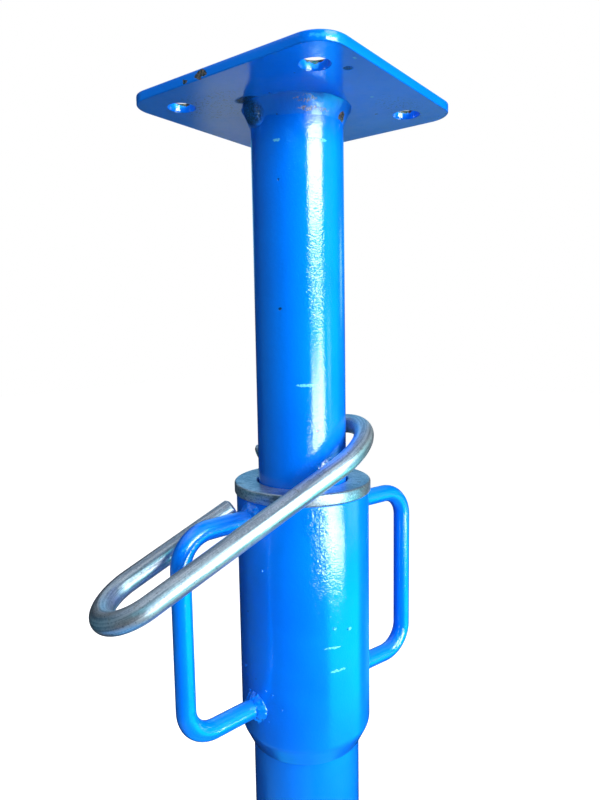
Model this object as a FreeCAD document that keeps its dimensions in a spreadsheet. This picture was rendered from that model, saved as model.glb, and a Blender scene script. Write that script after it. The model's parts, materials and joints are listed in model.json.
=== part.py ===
import FreeCAD, Part
import math
import os
import Sketcher

# Adjustable steel prop: an outer tube with a foot plate, an inner tube with a head plate, a long collar
# that turns on the outer tube's thread, a loose washer on the collar and a bent pin hanging on the washer.
# Millimetres, +Z up, origin in the middle of the foot plate's underside.

SIZES = {
    "closedHeight": 1600,       # foot plate underside to head plate top, fully closed
    "headReach": 194,           # washer top to head plate underside, fully closed
    "plateSide": 123,           # side of the square end plates
    "plateThick": 4.5,          # thickness of the end plates
    "plateRound": 14.5,         # corner radius of the end plates
    "boltSpacing": 83,          # hole spacing of the end plates, both ways
    "boltHole": 14,             # hole diameter of the end plates
    "outerDia": 60.3,           # outer tube outside
    "outerWall": 3.2,           # outer tube wall
    "grooveDepth": 2.1,         # rolled groove in the outer tube, inwards
    "grooveWidth": 16,          # height of the rolled groove
    "grooveRound": 3,           # edge radius of the rolled groove
    "innerDia": 48.3,           # inner tube outside
    "innerWall": 3.2,           # inner tube wall
    "innerTravel": 1150,        # inner tube's way from its seat to the rolled groove
    "pinHole": 13,              # cross holes in the inner tube
    "holePitch": 100,           # distance between cross holes
    "holeCount": 12,            # number of cross holes
    "topHoleDrop": 22,          # top cross hole below the washer top, fully closed
    "stopRingDia": 52.7,        # ring round the inner tube's foot
    "stopRingHeight": 12,       # height of that ring
    "threadDia": 63,            # male thread at the outer tube's top, over its crests
    "threadLength": 26,         # length of that thread
    "spigotLength": 16,         # threaded head's part inside the outer tube
    "guideGap": 0.1,            # radial play of the inner tube in the threaded head
    "threadGap": 0.1,           # radial play of the collar on the thread
    "slipGap": 0.05,            # radial play of a ring slipped on a tube before it is welded
    "collarDia": 73,            # collar outside
    "collarLength": 141.8,      # collar from top to lower rim
    "collarRound": 5.4,         # drawn-in outer edge of the collar's lower rim
    "lipHeight": 10,            # height of the drawn-in lip that holds the thread
    "lipGap": 0.5,              # radial play of the lip on the outer tube
    "washerDia": 75,            # thrust washer outside
    "washerThick": 6.5,         # thrust washer thickness
    "washerGap": 1,             # radial play of the washer on the inner tube
    "washerRound": 1.2,         # edge radius of the washer
    "barDia": 10,               # handle bar
    "handleReach": 79,          # prop axis to the middle of the handle's grip
    "handleHeight": 104,        # distance between the middles of the handle's arms
    "handleBend": 16.3,         # bend radius of the handle, middle of the bar
    "leftHeading": 259.1,       # direction of the left handle from +X, degrees
    "rightHeading": 74.6,       # direction of the right handle from +X, degrees
    "leftDrop": 15.2,           # left handle's top arm below the washer top
    "rightDrop": 19.9,          # right handle's top arm below the washer top
    "barWeld": 4,               # leg of the weld beads at the handles
    "headWeldReach": 4.6,       # head weld bead, outwards on the plate
    "headWeldHeight": 9,        # head weld bead, along the tube
    "footWeldReach": 6,         # foot weld bead, outwards on the plate
    "footWeldHeight": 6,        # foot weld bead, along the tube
    "innerWeld": 2,             # height of the hidden weld beads
    "rodDia": 10.8,             # pin rod
    "legSpacing": 38,           # middle of the pin's shank to middle of its outer leg
    "pinReach": 107.5,          # prop axis to the start of the pin's end bend, pin level
    "shankLength": 61.5,        # straight shank of the pin
    "curlAngle": 149,           # turn of the curl round the inner tube, degrees
    "tailLength": 29,           # straight tail after the curl
    "tipChamfer": 1.2,          # chamfer at both rod ends
    "pinHeading": 65.3,         # direction of the pin from its end bend to the curl, from +X, degrees
    "pinGap": 0.4,              # clearance between the level pin and the washer
    "hangHeading": 150.1,       # direction of the line that the pin tilts about, from +X, degrees
    "hangOffset": 9.7,          # distance of that line from the prop axis
    "hangTilt": 27,             # pin's tilt from level as it hangs, degrees
}

doc = FreeCAD.newDocument("SteelProp")
sheet = doc.addObject("Spreadsheet::Sheet", "Sizes")
for row, (name, value) in enumerate(SIZES.items(), start=1):
    sheet.set("A%d" % row, name)
    sheet.set("B%d" % row, str(value))
    sheet.setAlias("B%d" % row, name)
doc.recompute()


def number(expression):
    """Value of an expression, in millimetres or degrees."""
    return float(sheet.evalExpression(expression))


TOLERANCE = 0.01  # for finding an edge by its place

# Heights and radii that several pieces share
WASHER_TOP = "(Sizes.closedHeight - Sizes.plateThick - Sizes.headReach)"
COLLAR_TOP = "(%s - Sizes.washerThick)" % WASHER_TOP
THREAD_FOOT = "(%s - Sizes.threadLength)" % COLLAR_TOP
OUTER_RADIUS = "(Sizes.outerDia / 2)"
OUTER_BORE = "(Sizes.outerDia / 2 - Sizes.outerWall)"
INNER_RADIUS = "(Sizes.innerDia / 2)"
INNER_LENGTH = "(Sizes.closedHeight - 2 * Sizes.plateThick)"
COLLAR_RADIUS = "(Sizes.collarDia / 2)"
COLLAR_BORE = "(Sizes.threadDia / 2 + Sizes.threadGap)"
LIP_RADIUS = "(Sizes.outerDia / 2 + Sizes.lipGap)"


def newBody(label, height="0", heading=None):
    """Body lifted along Z and turned about Z by expressions."""
    body = doc.addObject("PartDesign::Body", label)
    body.Label = label
    if heading is not None:
        body.Placement.Rotation = FreeCAD.Rotation(FreeCAD.Vector(0, 0, 1), number(heading))
        body.setExpression("Placement.Rotation.Angle", heading)
    body.setExpression("Placement.Base.z", height)
    return body


def newSketch(body, plane, name):
    sketch = body.newObject("Sketcher::SketchObject", body.Label + "_" + name)
    for feature in body.Origin.OriginFeatures:
        if feature.Role == plane:
            sketch.AttachmentSupport = [(feature, "")]
    sketch.MapMode = "FlatFace"
    return sketch


def addFeature(body, kind, name):
    return body.newObject("PartDesign::" + kind, body.Label + "_" + name)


def fixCoordinate(sketch, kind, curve, point, expression):
    """Hold one coordinate of a sketch point at an expression, whatever its sign."""
    value = number(expression)
    if abs(value) < 1e-9:
        axis = -2 if kind == "DistanceX" else -1
        sketch.addConstraint(Sketcher.Constraint("PointOnObject", curve, point, axis))
    elif value > 0:
        index = sketch.addConstraint(Sketcher.Constraint(kind, -1, 1, curve, point, value))
        sketch.setExpression("Constraints[%d]" % index, expression)
    else:
        index = sketch.addConstraint(Sketcher.Constraint(kind, curve, point, -1, 1, -value))
        sketch.setExpression("Constraints[%d]" % index, "-(%s)" % expression)


def fixPoint(sketch, curve, point, place):
    fixCoordinate(sketch, "DistanceX", curve, point, place[0])
    fixCoordinate(sketch, "DistanceY", curve, point, place[1])


def vector(place):
    return FreeCAD.Vector(number(place[0]), number(place[1]), 0)


def drawOutline(sketch, corners):
    """Closed outline of straight edges; each corner is a pair of expressions."""
    count = len(corners)
    for index in range(count):
        start = vector(corners[index])
        end = vector(corners[(index + 1) % count])
        sketch.addGeometry(Part.LineSegment(start, end))
    for index in range(count):
        joint = Sketcher.Constraint("Coincident", index, 2, (index + 1) % count, 1)
        sketch.addConstraint(joint)
    for index in range(count):
        fixPoint(sketch, index, 1, corners[index])


def drawCircle(sketch, place, radius):
    circle = Part.Circle(vector(place), FreeCAD.Vector(0, 0, 1), number(radius))
    curve = sketch.addGeometry(circle)
    fixPoint(sketch, curve, 3, place)
    index = sketch.addConstraint(Sketcher.Constraint("Radius", curve, number(radius)))
    sketch.setExpression("Constraints[%d]" % index, radius)


def drawBentLine(sketch, runs, radii):
    """Straight runs joined by arcs that turn to the left; a run is its two ends."""
    for run in runs:
        curve = sketch.addGeometry(Part.LineSegment(vector(run[0]), vector(run[1])))
        fixPoint(sketch, curve, 1, run[0])
        fixPoint(sketch, curve, 2, run[1])
    for index, radius in enumerate(radii):
        start = vector(runs[index][1])
        end = vector(runs[index + 1][0])
        heading = (start - vector(runs[index][0])).normalize()
        centre = start + FreeCAD.Vector(-heading.y, heading.x, 0) * number(radius)
        angles = [math.atan2(spot.y - centre.y, spot.x - centre.x) for spot in (start, end)]
        circle = Part.Circle(centre, FreeCAD.Vector(0, 0, 1), number(radius))
        arc = sketch.addGeometry(Part.ArcOfCircle(circle, angles[0], angles[1]))
        sketch.addConstraint(Sketcher.Constraint("Tangent", index, 2, arc, 1))
        sketch.addConstraint(Sketcher.Constraint("Coincident", arc, 2, index + 1, 1))


def finish(body, feature):
    body.Tip = feature
    doc.recompute()
    return body


def spin(body, corners, axis="V_Axis"):
    """Turned form: an outline in the XZ plane spun about the plane's upright or level axis."""
    sketch = newSketch(body, "XZ_Plane", "profile")
    drawOutline(sketch, corners)
    turned = addFeature(body, "Revolution", "turned")
    turned.Profile = sketch
    turned.ReferenceAxis = (sketch, [axis])
    turned.Angle = 360
    return finish(body, turned)


def roundEdges(body, kind, wanted, value):
    """Fillet or chamfer on the edges of the tip that pass a test."""
    base = body.Tip
    names = ["Edge%d" % (index + 1) for index, edge in enumerate(base.Shape.Edges) if wanted(edge)]
    feature = addFeature(body, kind, kind.lower())
    feature.Base = (base, names)
    feature.setExpression("Radius" if kind == "Fillet" else "Size", value)
    return finish(body, feature)


def isCircle(edge, radius, height):
    """True for a full circle about Z, from its radius and its height in the body."""
    curve = edge.Curve
    if not isinstance(curve, Part.Circle) or not edge.isClosed():
        return False
    return abs(curve.Radius - radius) < TOLERANCE and abs(curve.Center.z - height) < TOLERANCE


def cutRound(body, plane, place, radius, name):
    """Hole right through the body, both ways from a plane of its origin."""
    before = body.Shape.Volume
    sketch = newSketch(body, plane, name + "_circle")
    drawCircle(sketch, place, radius)
    pocket = addFeature(body, "Pocket", name)
    pocket.Profile = sketch
    pocket.SideType = "Symmetric"
    pocket.Type = "ThroughAll"
    finish(body, pocket)
    if pocket.Shape.Volume > before - 1:
        raise ValueError("%s cuts nothing" % pocket.Label)
    return pocket, sketch


def sweepRod(body, diameter, runs, radii, plane, start):
    """Round bar along straight runs and tangent arcs, from a start along the body's X axis."""
    path = newSketch(body, plane, "path")
    drawBentLine(path, runs, radii)
    section = newSketch(body, "YZ_Plane", "section")
    section.setExpression("AttachmentOffset.Base.z", start)
    drawCircle(section, ("0", "0"), "%s / 2" % diameter)
    pipe = addFeature(body, "AdditivePipe", "bar")
    pipe.Profile = section
    pipe.Spine = path
    finish(body, pipe)
    expected = path.Shape.Length * math.pi * number(diameter) ** 2 / 4
    if abs(pipe.Shape.Volume / expected - 1) > 0.01:
        raise ValueError("%s has %.0f mm3 for %.0f" % (body.Label, pipe.Shape.Volume, expected))
    return body


def endPlate(label, height):
    """Square plate with rounded corners and four bolt holes."""
    body = newBody(label, height)
    half = "Sizes.plateSide / 2"
    outline = newSketch(body, "XY_Plane", "outline")
    drawOutline(outline, [("-" + half, "-" + half), (half, "-" + half), (half, half), ("-" + half, half)])
    slab = addFeature(body, "Pad", "slab")
    slab.Profile = outline
    slab.setExpression("Length", "Sizes.plateThick")
    finish(body, slab)
    thick = number("Sizes.plateThick")

    def isUpright(edge):
        return abs(edge.BoundBox.ZLength - thick) < TOLERANCE

    roundEdges(body, "Fillet", isUpright, "Sizes.plateRound")
    spot = ("Sizes.boltSpacing / 2", "Sizes.boltSpacing / 2")
    pocket, sketch = cutRound(body, "XY_Plane", spot, "Sizes.boltHole / 2", "bolt_hole")
    pattern = addFeature(body, "PolarPattern", "bolt_holes")
    pattern.Originals = [pocket]
    pattern.Axis = (sketch, ["N_Axis"])
    pattern.Angle = 360
    pattern.Occurrences = 4
    return finish(body, pattern)


def weldRing(label, height, radius, reach, rise, upwards):
    """Convex fillet weld round a tube, on a flat that faces up or down."""
    body = newBody(label, height)
    sign = "" if upwards else "-"
    root = "%s + Sizes.slipGap" % radius
    return spin(body, [
        (root, "0"),
        ("%s + %s" % (radius, reach), "0"),
        ("%s + 0.7 * %s" % (radius, reach), "%s0.5 * %s" % (sign, rise)),
        ("%s + 0.35 * %s" % (radius, reach), "%s0.85 * %s" % (sign, rise)),
        (root, "%s%s" % (sign, rise)),
    ])


def outerTube():
    """Tube with the rolled groove that stops the inner tube's ring."""
    body = newBody("outer_tube", "Sizes.plateThick")
    length = "(%s - Sizes.plateThick)" % THREAD_FOOT
    middle = "(Sizes.stopRingHeight + Sizes.innerWeld + Sizes.innerTravel + Sizes.grooveWidth / 2)"
    heights = ["%s + %s * Sizes.grooveWidth" % (middle, share) for share in (-0.5, -0.2, 0.2, 0.5)]
    outside = [OUTER_RADIUS, OUTER_RADIUS + " - Sizes.grooveDepth"]
    inside = [OUTER_BORE, OUTER_BORE + " - Sizes.grooveDepth"]
    up = [(outside[depth], height) for depth, height in zip((0, 1, 1, 0), heights)]
    down = [(inside[depth], height) for depth, height in zip((0, 1, 1, 0), heights)]
    spin(body, [(OUTER_BORE, "0"), (OUTER_RADIUS, "0")] + up +
         [(OUTER_RADIUS, length), (OUTER_BORE, length)] + down[::-1])
    levels = [number(height) for height in heights]
    wide = number(OUTER_RADIUS)
    deep = number(outside[1])
    spots = [(wide, levels[0]), (deep, levels[1]), (deep, levels[2]), (wide, levels[3])]
    return roundEdges(body, "Fillet", lambda edge: any(isCircle(edge, *spot) for spot in spots),
                      "Sizes.grooveRound")


def threadedHead():
    """Ring with the male thread outside and the inner tube's guide bore inside."""
    body = newBody("threaded_head", THREAD_FOOT)
    bore = INNER_RADIUS + " + Sizes.guideGap"
    spigot = OUTER_BORE + " - Sizes.slipGap"
    crest = "Sizes.threadDia / 2"
    return spin(body, [
        (bore, "-Sizes.spigotLength"), (spigot, "-Sizes.spigotLength"), (spigot, "0"),
        (crest, "0"), (crest, "Sizes.threadLength"), (bore, "Sizes.threadLength"),
    ])


def innerTube():
    """Tube with a row of cross holes, in line with the pin when that is lifted level."""
    body = newBody("inner_tube", "Sizes.plateThick", "Sizes.pinHeading")
    spin(body, [
        (INNER_RADIUS + " - Sizes.innerWall", "0"), (INNER_RADIUS, "0"),
        (INNER_RADIUS, INNER_LENGTH), (INNER_RADIUS + " - Sizes.innerWall", INNER_LENGTH),
    ])
    row = "(Sizes.holePitch * (Sizes.holeCount - 1))"
    lowest = "%s - Sizes.plateThick - Sizes.topHoleDrop - %s" % (WASHER_TOP, row)
    pocket, sketch = cutRound(body, "YZ_Plane", ("0", lowest), "Sizes.pinHole / 2", "pin_hole")
    pattern = addFeature(body, "LinearPattern", "pin_holes")
    pattern.Originals = [pocket]
    pattern.Direction = (sketch, ["V_Axis"])
    pattern.setExpression("Length", row)
    pattern.setExpression("Occurrences", "Sizes.holeCount")
    return finish(body, pattern)


def stopRing():
    body = newBody("stop_ring", "Sizes.plateThick")
    bore = INNER_RADIUS + " + Sizes.slipGap"
    return spin(body, [
        (bore, "0"), ("Sizes.stopRingDia / 2", "0"),
        ("Sizes.stopRingDia / 2", "Sizes.stopRingHeight"), (bore, "Sizes.stopRingHeight"),
    ])


def collar():
    """Sleeve nut: plain bore for the thread, and a drawn-in lip that can't pass the thread."""
    body = newBody("collar", "%s - Sizes.collarLength" % COLLAR_TOP)
    spin(body, [
        (LIP_RADIUS, "0"), (COLLAR_RADIUS, "0"), (COLLAR_RADIUS, "Sizes.collarLength"),
        (COLLAR_BORE, "Sizes.collarLength"), (COLLAR_BORE, "Sizes.lipHeight"),
        (LIP_RADIUS, "Sizes.lipHeight - (%s - %s)" % (COLLAR_BORE, LIP_RADIUS)),
    ])
    radius = number(COLLAR_RADIUS)
    return roundEdges(body, "Fillet", lambda edge: isCircle(edge, radius, 0), "Sizes.collarRound")


def thrustWasher():
    body = newBody("thrust_washer", COLLAR_TOP)
    bore = INNER_RADIUS + " + Sizes.washerGap"
    spin(body, [
        (bore, "0"), ("Sizes.washerDia / 2", "0"),
        ("Sizes.washerDia / 2", "Sizes.washerThick"), (bore, "Sizes.washerThick"),
    ])
    radius = number("Sizes.washerDia / 2")
    rims = (0, number("Sizes.washerThick"))
    return roundEdges(body, "Fillet", lambda edge: any(isCircle(edge, radius, rim) for rim in rims),
                      "Sizes.washerRound")


def handle(label, heading, drop):
    """U-bent bar whose two arms are coped to the collar."""
    body = newBody(label, "%s - %s - Sizes.handleHeight" % (WASHER_TOP, drop), heading)
    bend = "Sizes.handleBend"
    reach = "Sizes.handleReach"
    top = "Sizes.handleHeight"
    sweepRod(body, "Sizes.barDia", [
        [("0", "0"), ("%s - %s" % (reach, bend), "0")],
        [(reach, bend), (reach, "%s - %s" % (top, bend))],
        [("%s - %s" % (reach, bend), top), ("0", top)],
    ], [bend, bend], "XZ_Plane", "0")
    cutRound(body, "XY_Plane", ("0", "0"), COLLAR_RADIUS, "cope")
    return body


def handleWeld(label, heading, height):
    """Convex weld bead round one arm, coped to the collar."""
    body = newBody(label, height, heading)
    root = "Sizes.barDia / 2 + Sizes.slipGap"
    spin(body, [
        (COLLAR_RADIUS + " - Sizes.barWeld", root),
        (COLLAR_RADIUS + " - Sizes.barWeld", "Sizes.barDia / 2 + 0.85 * Sizes.barWeld"),
        (COLLAR_RADIUS + " + 0.1 * Sizes.barWeld", "Sizes.barDia / 2 + 0.8 * Sizes.barWeld"),
        (COLLAR_RADIUS + " + 0.6 * Sizes.barWeld", "Sizes.barDia / 2 + 0.5 * Sizes.barWeld"),
        (COLLAR_RADIUS + " + Sizes.barWeld", root),
    ], "H_Axis")
    cutRound(body, "XY_Plane", ("0", "0"), COLLAR_RADIUS, "cope")
    return body


def gPin():
    """G-shaped rod: shank, end bend, outer leg, curl round the inner tube and a short tail.

    It is drawn level, with the prop axis at the origin and the shank on the X axis, and then
    tilted to the slope at which it hangs on the washer.
    """
    body = newBody("g_pin")
    tip = "-(Sizes.pinReach - Sizes.shankLength)"
    curlEnd = ("Sizes.legSpacing * sin(Sizes.curlAngle)", "-Sizes.legSpacing * cos(Sizes.curlAngle)")
    tailEnd = (curlEnd[0] + " + Sizes.tailLength * cos(Sizes.curlAngle)",
               curlEnd[1] + " + Sizes.tailLength * sin(Sizes.curlAngle)")
    sweepRod(body, "Sizes.rodDia", [
        [(tip, "0"), ("-Sizes.pinReach", "0")],
        [("-Sizes.pinReach", "-Sizes.legSpacing"), ("0", "-Sizes.legSpacing")],
        [curlEnd, tailEnd],
    ], ["Sizes.legSpacing / 2", "Sizes.legSpacing"], "XY_Plane", tip)
    ends = [FreeCAD.Vector(number(tip), 0, 0), vector(tailEnd)]

    def atRodEnd(edge):
        return any(edge.BoundBox.Center.distanceToPoint(end) < 0.5 for end in ends) and edge.isClosed()

    roundEdges(body, "Chamfer", atRodEnd, "Sizes.tipChamfer")
    level = "%s + Sizes.rodDia / 2 + Sizes.pinGap" % WASHER_TOP
    east = "sin(Sizes.hangHeading) * Sizes.hangOffset"
    north = "cos(Sizes.hangHeading) * Sizes.hangOffset"
    spot = "create(<<vector>>; %s; %s; %s)"
    turn = "create(<<rotation>>; %s; %s)"
    tiltLine = spot % ("cos(Sizes.hangHeading)", "sin(Sizes.hangHeading)", "0")
    upright = spot % ("0", "0", "1")
    steps = [
        (spot % ("-" + east, north, level), turn % (tiltLine, "-Sizes.hangTilt")),
        (spot % (east, "-" + north, "0"), turn % (upright, "0")),
        (spot % ("0", "0", "0"), turn % (upright, "Sizes.pinHeading")),
    ]
    moves = ["create(<<placement>>; %s; %s)" % step for step in steps]
    body.setExpression("Placement", " * ".join(moves))
    doc.recompute()
    return body


def buildAll():
    headUnderside = "Sizes.closedHeight - Sizes.plateThick"
    stopRingTop = "Sizes.plateThick + Sizes.stopRingHeight"
    headWeld = (INNER_RADIUS, "Sizes.headWeldReach", "Sizes.headWeldHeight")
    footWeld = (OUTER_RADIUS, "Sizes.footWeldReach", "Sizes.footWeldHeight")
    threadWeld = (OUTER_RADIUS, "(Sizes.threadDia - Sizes.outerDia) * 0.4", "Sizes.innerWeld")
    stopWeld = (INNER_RADIUS, "(Sizes.stopRingDia - Sizes.innerDia) * 0.45", "Sizes.innerWeld")
    pieces = [
        endPlate("base_plate", "0"),
        weldRing("base_weld", "Sizes.plateThick", *footWeld, True),
        outerTube(),
        threadedHead(),
        weldRing("threaded_head_weld", THREAD_FOOT, *threadWeld, False),
        innerTube(),
        stopRing(),
        weldRing("stop_ring_weld", stopRingTop, *stopWeld, True),
        endPlate("head_plate", headUnderside),
        weldRing("head_weld", headUnderside, *headWeld, False),
        collar(),
        thrustWasher(),
        gPin(),
    ]
    sides = [
        ("left", "Sizes.leftHeading", "Sizes.leftDrop"),
        ("right", "Sizes.rightHeading", "Sizes.rightDrop"),
    ]
    for side, heading, drop in sides:
        arm = "%s - %s" % (WASHER_TOP, drop)
        pieces.append(handle("%s_handle" % side, heading, drop))
        pieces.append(handleWeld("%s_handle_top_weld" % side, heading, arm))
        pieces.append(handleWeld("%s_handle_bottom_weld" % side, heading, arm + " - Sizes.handleHeight"))
    return pieces


def checkAndExport(pieces):
    for entry in doc.Objects:
        if "Invalid" in entry.State or "Error" in entry.State:
            raise ValueError("%s failed: %s" % (entry.Label, entry.State))
    for piece in pieces:
        shape = piece.Shape
        if shape.isNull() or not shape.isValid() or len(shape.Solids) != 1:
            raise ValueError("%s isn't one valid solid" % piece.Label)
    os.makedirs("parts", exist_ok=True)
    for piece in pieces:
        piece.Shape.exportStep("parts/%s.step" % piece.Label)
        box = piece.Shape.BoundBox
        print("%-26s %9.0f mm3  z %.1f to %.1f" % (piece.Label, piece.Shape.Volume, box.ZMin, box.ZMax))


checkAndExport(buildAll())
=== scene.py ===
import json
import math
import random
import bmesh
import bpy
from mathutils import Matrix, Quaternion, Vector, noise


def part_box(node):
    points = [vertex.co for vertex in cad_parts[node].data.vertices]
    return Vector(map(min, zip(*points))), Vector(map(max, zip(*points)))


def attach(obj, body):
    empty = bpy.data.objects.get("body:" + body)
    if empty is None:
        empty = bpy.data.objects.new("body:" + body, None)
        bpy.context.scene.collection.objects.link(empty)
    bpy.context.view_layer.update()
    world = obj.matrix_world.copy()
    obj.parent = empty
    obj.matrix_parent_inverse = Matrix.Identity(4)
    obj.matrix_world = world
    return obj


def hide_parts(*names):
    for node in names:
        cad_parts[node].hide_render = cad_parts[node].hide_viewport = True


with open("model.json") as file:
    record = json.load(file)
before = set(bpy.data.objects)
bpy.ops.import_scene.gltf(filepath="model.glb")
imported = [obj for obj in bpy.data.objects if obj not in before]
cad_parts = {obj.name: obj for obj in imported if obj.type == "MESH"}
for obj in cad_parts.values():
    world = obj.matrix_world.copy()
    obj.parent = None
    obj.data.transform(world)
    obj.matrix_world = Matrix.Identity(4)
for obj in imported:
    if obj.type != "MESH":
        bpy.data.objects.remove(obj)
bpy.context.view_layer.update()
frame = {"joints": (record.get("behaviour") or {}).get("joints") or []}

# Steel prop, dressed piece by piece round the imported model. Metres, +Z up, foot plate's underside at 0.

scene = bpy.context.scene
fullTurn = 2 * math.pi
innerRadius = 0.02415
outerRadius = 0.03015
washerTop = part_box("thrust_washer")[1].z
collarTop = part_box("collar")[1].z
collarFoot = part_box("collar")[0].z
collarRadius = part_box("collar")[1].x
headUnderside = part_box("head_plate")[0].z
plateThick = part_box("base_plate")[1].z
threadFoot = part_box("outer_tube")[1].z


# Nodes, for shaders and for geometry

def addNode(tree, kind, inputs=None, **settings):
    made = tree.nodes.new(kind)
    for key, value in settings.items():
        setattr(made, key, value)
    for key, value in (inputs or {}).items():
        if isinstance(value, bpy.types.NodeSocket):
            tree.links.new(value, made.inputs[key])
        else:
            made.inputs[key].default_value = value
    return made


def joinNode(kind, inputs, **settings):
    # Adds a node to the tree that its linked inputs come from
    source = next(value for value in inputs.values() if isinstance(value, bpy.types.NodeSocket))
    return addNode(source.id_data, kind, inputs, **settings).outputs


def calc(operation, *values):
    return joinNode("ShaderNodeMath", dict(enumerate(values)), operation=operation)[0]


def times(first, second):
    return calc("MULTIPLY", first, second)


def addShare(total, value, weight):
    return calc("ADD", total, times(value, weight))


def vectorCalc(operation, *values):
    made = joinNode("ShaderNodeVectorMath", dict(enumerate(values)), operation=operation)
    return made["Value" if operation in ("LENGTH", "DOT_PRODUCT") else "Vector"]


def scaleVector(vector, amount):
    return joinNode("ShaderNodeVectorMath", {0: vector, "Scale": amount}, operation="SCALE")[0]


def ramp(value, low, high, toLow=0.0, toHigh=1.0):
    inputs = {0: value, 1: low, 2: high, 3: toLow, 4: toHigh}
    return joinNode("ShaderNodeMapRange", inputs, interpolation_type="SMOOTHSTEP")[0]


def blendColors(share, first, second):
    return joinNode("ShaderNodeMix", {0: share, 6: first, 7: second}, data_type="RGBA")[2]


def grain(coords, scale, detail, roughness, output="Fac"):
    inputs = {"Vector": coords, "Scale": scale, "Detail": detail, "Roughness": roughness}
    return joinNode("ShaderNodeTexNoise", inputs)[output]


def stretched(coords, scale, turn=(0, 0, 0)):
    return joinNode("ShaderNodeMapping", {"Vector": coords, "Scale": scale, "Rotation": turn})[0]


def emptyTree(owner):
    owner.use_nodes = True
    owner.node_tree.nodes.clear()
    return owner.node_tree


def newFinish(name):
    finish = bpy.data.materials.new(name)
    tree = emptyTree(finish)
    shader = addNode(tree, "ShaderNodeBsdfPrincipled")
    addNode(tree, "ShaderNodeOutputMaterial", {0: shader.outputs[0]})
    return finish, shader, addNode(tree, "ShaderNodeTexCoord").outputs["Object"]


def setFinish(shader, color, roughness, height, relief, **constants):
    # What varies is linked, and what doesn't is set on the shader's own sockets
    bump = joinNode("ShaderNodeBump", {"Strength": 1.0, "Distance": relief, "Height": height})[0]
    for name, value in (("Base Color", color), ("Roughness", roughness), ("Normal", bump)):
        shader.id_data.links.new(value, shader.inputs[name])
    for name, value in constants.items():
        shader.inputs[name.replace("_", " ")].default_value = value
    return bump


def spotMask(coords, spots, ragged, bend, core):
    # Ragged patches at given places; a spot is its place and its half sizes along X, Y and Z
    shake = vectorCalc("SUBTRACT", grain(coords, bend, 3, 0.6, "Color"), (0.5, 0.5, 0.5))
    moved = vectorCalc("ADD", coords, vectorCalc("MULTIPLY", shake, (ragged,) * 3))
    mask = None
    for place, size in spots:
        away = vectorCalc("SUBTRACT", moved, place)
        away = vectorCalc("MULTIPLY", away, tuple(1 / length for length in size))
        here = ramp(vectorCalc("LENGTH", away), 1.0, core)
        mask = here if mask is None else calc("MAXIMUM", mask, here)
    return mask


# A noise is given by its scale, detail and roughness
bluePaint = {
    "color": (0.0, 0.21, 1.0, 1),
    "deep": (0.0, 0.182, 0.95, 1),
    "cloud": (28, 3, 0.55),
    "cloudRange": (0.35, 0.7),
    "smudge": (90, 4, 0.65),
    "smudgeRange": (0.42, 0.75),
    "roughness": (0.3, 0.4),
    "speck": (0.016, 0.018, 0.024, 1),
    "speckScale": 170.0,
    "speckSize": (0.1, 0.06),
    "speckShare": (0.06, 0.055),
    "speckCover": 0.75,
    "sheenTint": (0.03, 0.8, 1, 1),
    "coat": 1.0,
    "coatIor": 1.9,
    "coatRoughness": 0.045,
    "relief": 0.00006,
    "peel": [((300, 2, 0.5), 0.6), ((1150, 1, 0.5), 1.2), ((62, 2, 0.5), 0.8)],  # each with its weight
}

# Marks, in the order in which they lie on each other. edge: how ragged, at what scale, and how much of a spot is
# solid. grain and range: the noise that breaks it up. Two colors are mottled by a noise of their own. cover, rough
# and lift: what the mark does to colour, roughness and height.
paintMarks = {
    "dusty": {"edge": (0.012, 60, 0.3), "grain": (1000, 3, 0.7), "range": (0.54, 0.66),
              "colors": [(0.05, 0.06, 0.09, 1)], "cover": 0.8, "rough": 0.3},
    "speckled": {"edge": (0.004, 150, 0.3), "grain": (900, 1, 0.5), "lift": 2.6},
    "wrinkles": {"edge": (0.004, 150, 0.4), "grain": (680, 1, 0.5), "lift": 7.0},
    # Dark navy spots with a dip: partly dirt and partly painted shade, darkening pits and lumps where shade falls
    "grimeAndShade": {"edge": (0.0015, 500, 0.65), "grain": (1300, 2, 0.6), "range": (0.3, 0.6, 0.55, 0.95),
              "colors": [(0.002, 0.018, 0.06, 1)], "cover": 1.0, "rough": 0.25, "lift": -3.0},
    # Light marks painted bright cyan: partly rub and scratch marks and partly painted glints
    "rubsAndGlints": {"edge": (0.002, 420, 0.8), "grain": (900, 3, 0.6), "range": (0.38, 0.52),
             "colors": [(0.16, 0.72, 0.92, 1)], "cover": 0.85, "lift": 0.5},
    "scuffs": {"edge": (0.004, 260, 0.8), "grain": (700, 4, 0.7), "range": (0.46, 0.58),
               "colors": [(0.1, 0.15, 0.22, 1), (0.42, 0.36, 0.33, 1)], "mottle": (1300, 2, 0.6),
               "mottleRange": (0.4, 0.6), "cover": 0.8, "rough": 0.35, "lift": -0.5},
    "chips": {"edge": (0.003, 330, 0.8), "colors": [bluePaint["speck"], (0.2, 0.12, 0.075, 1)],
              "mottle": (650, 3, 0.6), "mottleRange": (0.42, 0.62), "cover": 1.0, "rough": 0.5, "lift": -1.4},
}


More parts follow.
